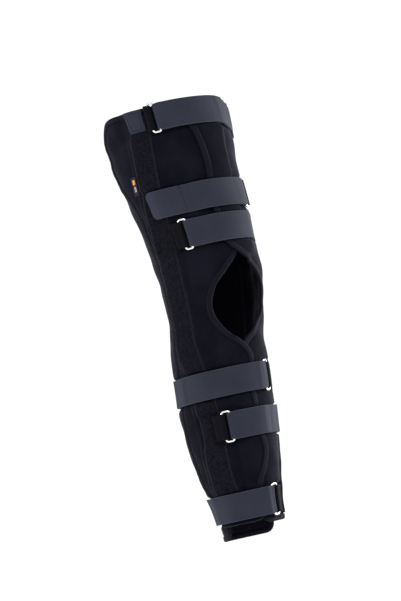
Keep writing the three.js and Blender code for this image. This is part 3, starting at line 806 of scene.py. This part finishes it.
# %% [markdown]
# ## Loop strips
# A strip of loop pile covers the pocket of each side stay. It is a thin sheet with a soft surface,
# pressed down along two rows of stitches near its borders.
# %% Make the strips
STRIP_THICKNESS, STRIP_GAP = 1.1, 0.3
STRIP_FOOT, STRIP_HEAD, STRIP_SIDE = 1.2, 1.0, 0.3
STRIP_CELL, STRIP_COLUMNS = 1.6, 25
STRIP_SEAM, SEAM_SHARE, EDGE_SHARE = 0.84, 0.06, 0.07
TUFT, SEAM_SINK, EDGE_SINK = 0.25, 0.45, 0.5


def strip_mesh(panel):
    low_end, high_end = panel.bottom + TAPE_WIDTH + STRIP_FOOT, panel.top - TAPE_WIDTH - STRIP_HEAD
    z = np.arange(low_end, high_end, STRIP_CELL)
    across = np.linspace(-1, 1, STRIP_COLUMNS)
    half = degrees_for(STRIP_WIDTH / 2 - STRIP_SIDE, z)
    angle = panel.strip(z)[:, None] + half[:, None] * across
    low = slanted(angle, z[:, None])
    uneven = 0.16 * ripples(angle * 31, low * 9) + 0.1 * ripples(angle * 57 + 40, low * 17)
    seam = np.exp(-(((np.abs(across) - STRIP_SEAM) / SEAM_SHARE) ** 2))
    edge = smooth((1 - np.abs(across)) / EDGE_SHARE)
    bottom = panel.face(angle, low) + STRIP_GAP
    top = bottom + STRIP_THICKNESS + (uneven + TUFT) * edge - SEAM_SINK * seam - EDGE_SINK * (1 - edge)

    def place(i, j, layer):
        return on_cloth(angle[j, i], low[j, i], np.where(layer > 0, top[j, i], bottom[j, i]))

    def pattern(i, j):
        return np.stack([across[i] * STRIP_WIDTH / 2, z[j]], -1) * MM

    return grid_mesh(panel.name + "_pile", len(across) - 1, len(z) - 1, place, pattern, thick=True)


for panel in PANELS[:2]:
    piece(panel.name + "_pile", strip_mesh(panel), "loop_pile", pile, panel.name + "_loop_strip")

# %% [markdown]
# ## Straps
# A strap is sewn down at one end, laid round the leg, turned back round a ring and pressed onto
# itself. It rests on the highest layer below it and bridges steps, as a stiff band does, so the peaks
# of the cover near each point are averaged.
# %% What a strap lies on
STRAP_GAP = 0.7
SEAT_BLEND, SEAT_TURNS = (-6, -3, 0, 3, 6), (-8, -4, 0, 4, 8)
SEAT_LEVELS = (-1, -0.5, 0, 0.5, 1)


def cover_at(angle, z):
    spare = degrees_for(OVERLAP_MARGIN, z)
    cover = np.zeros(np.broadcast(angle, z).shape)
    for panel in PANELS:
        for turn in (0, 360):
            a = angle + turn
            inside = (a > panel.first(z) - spare) & (a < panel.last(z) + spare)
            cover = np.where(inside, np.maximum(cover, panel.face(a, z)), cover)
    for panel in PANELS[:2]:
        inside = np.abs(angle - panel.strip(z)) < strip_half(z) + spare
        raised = panel.face(angle, z) + STRIP_GAP + STRIP_THICKNESS
        cover = np.where(inside, np.maximum(cover, raised), cover)
    return cover


def seat_at(angle, z, half):
    low, high = radius_at(z - half), radius_at(z + half)
    peaks = []
    for near in SEAT_BLEND:
        most = np.zeros(np.shape(angle))
        for up in SEAT_LEVELS:
            level = z + up * half
            bulge = radius_at(level) - (low + high) / 2 - up * (high - low) / 2
            for turn in SEAT_TURNS:
                most = np.maximum(most, cover_at(angle + near + turn, level) + bulge)
        peaks.append(most)
    return sum(peaks) / len(peaks) + STRAP_GAP


print("seat in front:", round(float(seat_at(0.0, 200.0, STRAP_WIDTH / 2)), 1))

# %% [markdown]
# ## A flat band
# Straps and webbing are flat bands with rounded edges. The middle line is worked out as arc length and
# height above the leg, and the section is swept along it. A bevelled curve would twist where it turns.
# %% Sweep a flat band along its middle line
BAND_STEP = 1.3
BAND_FLAT = [(t, 1) for t in np.linspace(-0.975, 0.975, 15)]
BAND_SIDE = [(1, 0.55), (1.006, 0), (1, -0.55)]
BAND_SECTION = BAND_FLAT + BAND_SIDE
BAND_SECTION = np.array(BAND_SECTION + [(-t, -n) for t, n in BAND_SECTION])
TIP_STOPS = 9
TURN_STEP = 15
RING_WIRE, RING_CLEARANCE = 3, 0.45
FOLD_RADIUS = RING_WIRE / 2 + RING_CLEARANCE


def band_stations(angle, out, z, half, round_end):
    """Even stations along a band: place, distance outside the leg, direction, half width, length."""
    arc = np.radians(angle) * radius_at(z)
    far = np.concatenate([[0], np.cumsum(np.hypot(np.diff(arc), np.diff(out)))])
    body = far[-1] - round_end
    s = np.linspace(0, body, round(body / BAND_STEP) + 1)
    if round_end:
        s = np.append(s, body + round_end * np.sin(np.linspace(0, math.pi / 2, TIP_STOPS))[1:])
    arc, out, half = (np.interp(s, far, values) for values in (arc, out, half))
    left = np.maximum(far[-1] - s, 0)
    if round_end:
        share = np.clip(1 - left / round_end, 0, 1)
        half = half - round_end * (1 - np.sqrt(1 - share**2))
    run, rise = np.gradient(arc, s), np.gradient(out, s)
    long = np.hypot(run, rise)
    return arc, out, run / long, rise / long, half, s


def band_mesh(name, angle, out, z, half, thickness, middle, round_end=0, wave=None):
    arc, out, run, rise, half, s = band_stations(angle, out, z, half, round_end)
    count = len(BAND_SECTION)

    def place(i, j, layer):
        t, n = BAND_SECTION[j % count].T
        lift = n * thickness / 2
        a = np.degrees((arc[i] - rise[i] * lift) / radius_at(z))
        more = wave(s[i], t, a) if wave else 0
        return on_strap(a, middle(a) + t * half[i], out[i] + run[i] * lift + more)

    def pattern(i, j):
        return np.stack([s[i], BAND_SECTION[j % count, 0] * STRAP_WIDTH / 2], -1) * MM

    return grid_mesh(name, len(s) - 1, count, place, pattern)


def turn_line(angle, seat, thickness, side, z):
    """The half turn of a band round a ring's wire, from the leg's side to the outside."""
    radius = FOLD_RADIUS + thickness / 2
    centre = seat + thickness / 2 + radius
    phase = np.radians(np.arange(TURN_STEP, 180, TURN_STEP))
    return angle + side * degrees_for(radius * np.sin(phase), z), centre - radius * np.cos(phase)


print("points round a band:", len(BAND_SECTION))

# %% Lay the straps
STRAP_THICKNESS = 1.5
RING_WIDTH = 11.8
FOLD_GAP, FOLD_SETTLE = 0.4, 26
SEAT_SETTLE = 8
STEP_DOWN = 14


class StrapPath:
    """Where one strap lies: under on its way to the ring, and over on its way back."""

    def __init__(self, strap):
        self.strap, self.height = strap, strap_height(strap)
        self.z, self.side = strap.up * BRACE_LENGTH, math.copysign(1, strap.ring - strap.end)
        self.ring_seat = float(self.seat(np.array([float(strap.ring)]))[0])
        self.bar = strap.ring + self.side * float(degrees_for(RING_WIDTH - RING_WIRE, self.z))
        self.wire_out = self.ring_seat + STRAP_THICKNESS + FOLD_RADIUS

    def seat(self, angle):
        return seat_at(angle, self.height(angle), STRAP_WIDTH / 2)

    def near_ring(self, angle, settle):
        return smooth(1 - np.abs(angle - self.strap.ring) / degrees_for(settle, self.z))

    def under(self, angle):
        near = self.near_ring(angle, SEAT_SETTLE)
        return self.seat(angle) * (1 - near) + self.ring_seat * near

    def over(self, angle):
        past = (angle - self.strap.start) * self.side
        inner = (STRAP_THICKNESS + FOLD_GAP) * smooth(1 + past / STEP_DOWN)
        lift = 2 * FOLD_RADIUS + STRAP_THICKNESS
        return self.under(angle) + inner + (lift - inner) * self.near_ring(angle, FOLD_SETTLE)


PATHS = [StrapPath(strap) for strap in STRAPS]
print("wires outside the leg:", [round(path.wire_out, 1) for path in PATHS])

# %% [markdown]
# ## Making the straps
# Seams cross two straps, and one seam pulls the upper edge in. The edges curl a little, and the top
# strap creases round the thigh. Each is a small push along the band, so it shows in the mesh itself.
# %% Make the straps
TAB_CORNER = 7
FOLD_TUCK, TUCK_BLEND = 1.2, 5
CURL = 0.2
SEAM_DEPTH, SEAM_SPREAD, DENT_FROM = 0.4, 1.3, 0.7
LIP, LIP_AT, LIP_SPREAD = 0.5, 3.4, 1.5
CREASE, CREASE_PITCH, CREASE_SLANT = 0.9, 2.3, 2.2
CREASE_FROM, CREASE_TO = 6, 84

# strap, angle of a seam sewn across it, dent of the upper edge there
STRAP_SEAMS = ((2, -41, 1.3), (4, -83, 0), (4, -79.5, 0))


def seams_of(number):
    return [row[1:] for row in STRAP_SEAMS if row[0] == number]


def sunk_seam(t, a, seam, dent):
    aside = np.abs(a - seam)
    depth = SEAM_DEPTH + dent * smooth((t - DENT_FROM) / (1 - DENT_FROM))
    lips = LIP * dent * np.exp(-(((aside - LIP_AT) / LIP_SPREAD) ** 2))
    return depth * np.exp(-((aside / SEAM_SPREAD) ** 2)) - lips


def creases(s, t, a):
    share = smooth((a - CREASE_FROM) / 20) * smooth((CREASE_TO - a) / 30) * smooth((t + 0.9) / 1.2)
    return CREASE * np.maximum(0, np.sin(s / CREASE_PITCH + CREASE_SLANT * t)) * share


def steps(start, end, step=1.5):
    return np.linspace(start, end, max(2, round(abs(end - start) / step)) + 1)


def strap_mesh(number, path):
    ring, half_thick = path.strap.ring, STRAP_THICKNESS / 2
    inner, outer = steps(path.strap.start, ring), steps(ring, path.strap.end)
    turn_angle, turn_out = turn_line(ring, path.ring_seat, STRAP_THICKNESS, path.side, path.z)
    angle = np.concatenate([inner, turn_angle, outer])
    out = np.concatenate([path.under(inner), turn_out - half_thick, path.over(outer)]) + half_thick
    tuck = np.zeros(len(angle))
    tuck[len(inner):len(inner) + len(turn_angle)] = FOLD_TUCK
    tuck = np.pad(tuck, TUCK_BLEND // 2, mode="edge")
    half = STRAP_WIDTH / 2 - np.convolve(tuck, np.ones(TUCK_BLEND) / TUCK_BLEND, mode="valid")
    phase = number * 1.7

    def wave(s, t, a):
        sunk = sum((sunk_seam(t, a, seam, dent) for seam, dent in seams_of(number)), 0 * s)
        curl = CURL * (1 + np.sin(s / 13 + phase) * np.sin(s / 29 + 2 * phase)) * np.abs(t) ** 5
        crease = creases(s, t, a) if number == 1 else 0
        return smooth(np.abs(a - ring) / RING_NEAR) * (curl + crease) - sunk

    name = f"strap_cloth_{number}"
    return band_mesh(name, angle, out, path.z, half, STRAP_THICKNESS, path.height, TAB_CORNER, wave)


for number, path in enumerate(PATHS, 1):
    band = strap_mesh(number, path)
    piece(f"strap_cloth_{number}", band, "strap_webbing", brushed, f"strap_{number}")

# %% [markdown]
# ## Rings and their webbing
# Each ring is a welded oval of nickel-plated wire, a round section swept along a closed oval. The
# webbing that holds it is another flat band, folded round the far bar and sewn down.
# %% Shape a ring
RING_REACH = 3.2
RING_BEND = 2.4
RING_SIDES = 14
BEND_STOPS, BAR_STOPS = 8, 14


def ring_mesh(number, path):
    z, wire = float(path.height(path.strap.ring)), RING_WIRE / 2
    half_across, half_long = (RING_WIDTH - RING_WIRE) / 2, STRAP_WIDTH / 2 + RING_REACH - wire
    middle = (path.strap.ring + path.bar) / 2
    line = []
    for sx, sz, start in ((1, 1, 0), (-1, 1, 90), (-1, -1, 180), (1, -1, 270)):
        for a in np.radians(np.linspace(start, start + 90, BEND_STOPS)):
            line.append((
                sx * (half_across - RING_BEND) + RING_BEND * math.cos(a),
                sz * (half_long - RING_BEND) + RING_BEND * math.sin(a), a,
            ))
        if start in (90, 270):
            stops = np.linspace(1, -1, BAR_STOPS)[1:-1] * sz * (half_long - RING_BEND)
            line += [(sx * half_across, up, a) for up in stops]
    across, up, a = np.array(line).T
    count = len(across)

    def place(i, j, layer):
        k, turn = i % count, 2 * math.pi * j / RING_SIDES
        wide = across[k] + wire * np.cos(turn) * np.cos(a[k])
        high = up[k] + wire * np.cos(turn) * np.sin(a[k])
        return on_strap(middle + degrees_for(wide, z), z + high, path.wire_out + wire * np.sin(turn))

    return grid_mesh(f"ring_wire_{number}", count, RING_SIDES, place)


print("ring:", RING_WIDTH, "by", STRAP_WIDTH + 2 * RING_REACH, "mm")

# %% Make the rings and their webbing
HOLDER_WIDTH = 36
HOLDER_THICKNESS = 1.2
HOLDER_LENGTH = 11
HOLDER_SETTLE = 16


class WebbingPath:
    """Where the webbing of one ring lies: its lower layer and its upper one."""

    def __init__(self, path):
        self.path = path
        self.end = path.bar + path.side * float(degrees_for(HOLDER_LENGTH * path.strap.holder, path.z))
        self.low_seat = path.wire_out - FOLD_RADIUS - HOLDER_THICKNESS

    def near_bar(self, angle):
        return smooth(1 - np.abs(angle - self.path.bar) / degrees_for(HOLDER_SETTLE, self.path.z))

    def under(self, angle):
        seat = seat_at(angle, self.path.height(angle), HOLDER_WIDTH / 2)
        return seat + (self.low_seat - seat) * self.near_bar(angle)

    def over(self, angle):
        lift = (2 * FOLD_RADIUS - FOLD_GAP) * self.near_bar(angle)
        return self.under(angle) + HOLDER_THICKNESS + FOLD_GAP + lift


def holder_mesh(number, path):
    way, half_thick = WebbingPath(path), HOLDER_THICKNESS / 2
    lower, upper = steps(way.end, path.bar), steps(path.bar, way.end)
    turn_angle, turn_out = turn_line(path.bar, way.low_seat, HOLDER_THICKNESS, -path.side, path.z)
    angle = np.concatenate([lower, turn_angle, upper])
    out = np.concatenate([way.under(lower), turn_out - half_thick, way.over(upper)]) + half_thick
    half = np.full(len(angle), HOLDER_WIDTH / 2)
    name = f"ring_webbing_{number}"
    return band_mesh(name, angle, out, path.z, half, HOLDER_THICKNESS, path.height)


for number, path in enumerate(PATHS, 1):
    piece(f"ring_wire_{number}", ring_mesh(number, path), "ring_wire", nickel, f"ring_{number}")
    band = holder_mesh(number, path)
    piece(f"ring_webbing_{number}", band, "holder_webbing", webbing, f"ring_holder_{number}")

# %% [markdown]
# ## The sewn square and the side tag
# A square of strap cloth is sewn on behind the top strap's ring. The tag is a plain woven one with two
# generic blocks of colour, which are ranges of its UV map, so no picture is needed.
# %% Make a flat piece
SEAT_NEAR = (-4, -2, 0, 2, 4)
RIM_CELLS, RIM_HEIGHT = 2, 0.45


def level_seat(angle, z):
    return sum(cover_at(angle + turn, z) for turn in SEAT_NEAR) / len(SEAT_NEAR)


def patch_mesh(name, corners, gap, thickness, columns, rows, cloth):
    (up0, behind0, front0), (up1, behind1, front1) = corners
    t, v = np.linspace(0, 1, columns + 1), np.linspace(0, 1, rows + 1)
    behind, front = behind0 + (behind1 - behind0) * v, front0 + (front1 - front0) * v
    angle = behind[:, None] + (front - behind)[:, None] * t
    z = ((up0 + (up1 - up0) * v) * BRACE_LENGTH)[:, None] + 0 * angle
    seat = level_seat(angle, z)

    def from_rim(share, cells):
        return np.minimum(np.minimum(share, 1 - share) * cells, RIM_CELLS)

    pillow = smooth(from_rim(t, columns)[None, :] * from_rim(v, rows)[:, None] / 2)
    rise = thickness * (RIM_HEIGHT + (1 - RIM_HEIGHT) * pillow)
    wide, tall = np.radians((front - behind).mean()) * radius_at(z.mean()), (up1 - up0) * BRACE_LENGTH

    def place(i, j, layer):
        return cloth(angle[j, i], z[j, i], seat[j, i] + gap + np.where(layer > 0, rise[j, i], 0.0))

    def pattern(i, j):
        return np.stack([(t[i] - 0.5) * wide, (v[j] - 0.5) * tall], -1) * MM

    return grid_mesh(name, columns, rows, place, pattern, thick=True)


# up, behind, front
STRAP_PATCH = ((0.407, -67.5, -54.6), (0.459, -70.5, -54.6))
square = patch_mesh("strap_square", STRAP_PATCH, STRAP_GAP, STRAP_THICKNESS, 24, 40, on_strap)
piece("strap_square", square, "strap_webbing", brushed, "strap_1_patch")

# %% Make the tag
TAG_THICKNESS = 0.7
SIDE_LABEL = ((0.267, -87.6, -79.6), (0.311, -84, -76))


def label_finish():
    f = Finish("woven tag", Specular_IOR_Level=0.04)
    u, v = f.lengths()
    weave = u.wave(0.0006) * v.wave(0.0006)
    ground = f.tint(weave, (0.010, 0.006, 0.009), (0.026, 0.016, 0.023))
    broken = f.noise(f.room(), 700.0, 1.0).between(0.42, 0.56)
    amber = (1.0 - abs(u).between(0.0022, 0.0028)) * (broken * 0.45 + 0.5)
    amber = amber * v.between(0.0021, 0.0027) * (1.0 - v.between(0.0085, 0.0091))
    pale = (1.0 - abs(u).between(0.0014, 0.0020)) * (broken * 0.75 + 0.15)
    pale = pale * v.between(-0.0074, -0.0069) * (1.0 - v.between(-0.0005, 0.0001))
    colour = f.tint(pale, f.tint(amber, ground, (0.62, 0.31, 0.05)), (0.50, 0.44, 0.50))
    return f.wear(colour, 0.6, f.bump(weave, 0.0001, 0.5))


tag = patch_mesh("side_tag", SIDE_LABEL, STRAP_GAP, TAG_THICKNESS, 16, 30, on_cloth)
piece("side_tag", tag, "woven_label", label_finish(), "side_label")

# %% [markdown]
# ## Stitches
# A row of stitches is one thread that rises above the cloth and dips under it, so it is swept as a
# thin round cord whose height waves. Only the raised parts show. Many rows are gathered in one piece.
# %% Sew one row
THREAD = 0.26
THREAD_STEP, THREAD_SIDES = 0.8, 5
THREAD_MIDDLE, THREAD_RISE = 0.05, 0.33


def thread_mesh(angle, z, height, cloth, closed=False):
    line = even_line(angle, z, THREAD_STEP, closed)
    out = height(line.angle, line.z) + THREAD_MIDDLE
    out = out + THREAD_RISE * np.sin(line.s * 2 * math.pi / STITCH)
    count = len(out)

    def place(i, j, layer):
        k, turn = (i % count if closed else i), 2 * math.pi * j / THREAD_SIDES
        aside = THREAD * np.cos(turn)
        a = line.angle[k] + degrees_for(line.rise[k] * aside, line.z[k])
        return cloth(a, line.z[k] - line.across[k] * aside, out[k] + THREAD * np.sin(turn))

    return grid_mesh("row", count if closed else count - 1, THREAD_SIDES, place)


def sewn(name, rows, slot):
    bm = bmesh.new()
    for mesh in rows:
        bm.from_mesh(mesh)
        bpy.data.meshes.remove(mesh)
    mesh = bpy.data.meshes.new(name)
    bm.to_mesh(mesh)
    bm.free()
    mesh.shade_smooth()
    piece(name, mesh, slot, thread)


# %% Sew the panels
TAPE_SEAM, TAPE_SEAM_RISE = 0.80, 0.28
STRIP_SEAM_RISE = STRIP_GAP + STRIP_THICKNESS - 0.1
POCKET_SEAM, POCKET_SEAM_RISE = 1.42, 0.32
SEAM_INSET = 3


def above_panel(panel, rise):
    return lambda angle, z: panel.face(angle, z) + rise


for panel in PANELS:
    line = rim_line(panel)
    seam = tape_point(line, np.arange(len(line.s)), TAPE_SEAM * TAPE_WIDTH)
    rows = [thread_mesh(*seam, above_panel(panel, TAPE_SEAM_RISE), on_cloth, closed=True)]
    if panel.strip:
        inset = TAPE_WIDTH + SEAM_INSET
        z = np.arange(panel.bottom + inset, panel.top - inset, CELL)
        for off, rise in ((STRIP_SEAM, STRIP_SEAM_RISE), (POCKET_SEAM, POCKET_SEAM_RISE)):
            for side in (-off, off):
                angle = panel.strip(z) + side * degrees_for(STRIP_WIDTH / 2, z)
                rows.append(thread_mesh(angle, slanted(angle, z), above_panel(panel, rise), on_cloth))
    sewn(panel.name + "_stitches", rows, "edge_tape")

# %% Sew the straps, the ring webbing and the square
STRAP_ROWS, HOLDER_ROWS = (2.0, 5.0, 22.0), (1.6, 3.4)
CROSS_STOPS = 12
SQUARE_INSET = 3.2


def sew_across(angle, half, height):
    """A row across a band at one angle."""
    z = path.height(float(angle)) + np.linspace(-half, half, CROSS_STOPS)
    rows.append(thread_mesh(np.full(CROSS_STOPS, float(angle)), z, height, on_strap))


rows = []
for number, path in enumerate(PATHS, 1):
    strap, way = path.strap, WebbingPath(path)
    sense = math.copysign(1, strap.ring - strap.start)
    if number != 2:
        for inset in STRAP_ROWS:
            angle = strap.start + sense * degrees_for(inset, path.z)
            sew_across(angle, STRAP_WIDTH / 2 - 3, lambda a, z: path.under(a) + STRAP_THICKNESS)
    for seam, _ in seams_of(number):
        sunk = STRAP_THICKNESS - SEAM_DEPTH
        sew_across(seam, STRAP_WIDTH / 2 - 1.5, lambda a, z: path.over(a) + sunk)
    for inset in HOLDER_ROWS:
        angle = way.end - path.side * degrees_for(inset, path.z)
        sew_across(angle, HOLDER_WIDTH / 2 - 2, lambda a, z: way.over(a) + HOLDER_THICKNESS)
(low, behind0, front0), (high, behind1, front1) = STRAP_PATCH
spare = float(degrees_for(SQUARE_INSET, high * BRACE_LENGTH))
corners = np.array([behind0 + spare, front0 - spare, front1 - spare, behind1 + spare])
levels = np.array([low, low, high, high]) * BRACE_LENGTH + SQUARE_INSET * np.array([1, 1, -1, -1])
top = STRAP_GAP + STRAP_THICKNESS
rows.append(thread_mesh(corners, levels, lambda a, z: level_seat(a, z) + top, on_strap, closed=True))
sewn("strap_stitches", rows, "strap_webbing")

# %% [markdown]
# ## Camera
# The camera stands in front of the outer side of the leg, a little below the knee, and is rolled as
# the leg leans, so its matrix is built from three directions.
# %% Camera
DISTANCE = 3.0
LENS = 127
PICTURE_HEIGHT = 601
SHIFT_RIGHT, SHIFT_UP = -14, -1.5
VIEW_TURN, VIEW_RISE, VIEW_ROLL = math.radians(-36), math.radians(-6), math.radians(12.5)
level = math.cos(VIEW_RISE)
eye = DISTANCE * Vector((
    math.sin(VIEW_TURN) * level, -math.cos(VIEW_TURN) * level, math.sin(VIEW_RISE),
))
forward = -eye.normalized()
flat_right = forward.cross(Vector((0, 0, 1))).normalized()
flat_up = flat_right.cross(forward)
right = flat_right * math.cos(VIEW_ROLL) - flat_up * math.sin(VIEW_ROLL)
up = flat_right * math.sin(VIEW_ROLL) + flat_up * math.cos(VIEW_ROLL)
camera = add_object("camera", bpy.data.cameras.new("camera"))
turned = Matrix((right, up, -forward)).transposed().to_4x4()
camera.matrix_world = Matrix.Translation(eye) @ turned
camera.data.lens = LENS
camera.data.shift_x, camera.data.shift_y = SHIFT_RIGHT / PICTURE_HEIGHT, SHIFT_UP / PICTURE_HEIGHT
bpy.context.scene.camera = camera
print("camera at", [round(v, 2) for v in eye])

# %% [markdown]
# ## Light and floor
# A white surround and three soft lamps give the even light of a studio. The floor is white paper.
# %% Light
def lamp(name, place, size, power):
    data = bpy.data.lights.new(name, "AREA")
    data.shape, data.size, data.energy = "DISK", size, power
    thing = add_object(name, data)
    aim = (-Vector(place)).to_track_quat("-Z", "Y").to_matrix().to_4x4()
    thing.matrix_world = Matrix.Translation(place) @ aim


lamp("key lamp", (-1.1, -2.2, 1.6), 1.2, 24)
lamp("inner side lamp", (2.3, -0.5, 0.3), 1.4, 78)
lamp("outer side lamp", (-1.9, 1.5, 0.4), 1.2, 42)

world = bpy.data.worlds.new("studio")
world.use_nodes = True
surround = world.node_tree.nodes["Background"].inputs
surround["Color"].default_value = (1, 1, 1, 1)
surround["Strength"].default_value = 1.08
bpy.context.scene.world = world
bpy.context.scene.view_settings.view_transform = "Standard"

print("lamps:", len(bpy.data.lights))

# %% Floor
FLOOR_SIZE, FLOOR_HEIGHT = 12, -0.42
floor_mesh = bpy.data.meshes.new("floor")
bm = bmesh.new()
lowered = Matrix.Translation((0, 0, FLOOR_HEIGHT))
bmesh.ops.create_grid(bm, x_segments=4, y_segments=4, size=FLOOR_SIZE, matrix=lowered)
bm.to_mesh(floor_mesh)
bm.free()
paper = Finish("paper floor", Roughness=0.9)
speckle = paper.noise(paper.room(), 3.0)
floor_mesh.materials.append(paper.wear(paper.tint(speckle, (0.93, 0.93, 0.93), (0.95, 0.95, 0.95))))
floor = add_object("floor", floor_mesh)
floor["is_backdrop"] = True

# %% [markdown]
# ## Sizes and the end
# The dressed brace should stay as big as its solids, so both boxes are printed.
# %% Print the sizes and finish
new_low, new_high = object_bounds()
boxes = {"cad": [list(cad_low), list(cad_high)], "visual": [list(new_low), list(new_high)]}
for name, (low, high) in boxes.items():
    print(name, [round(v, 4) for v in (*low, *high)])
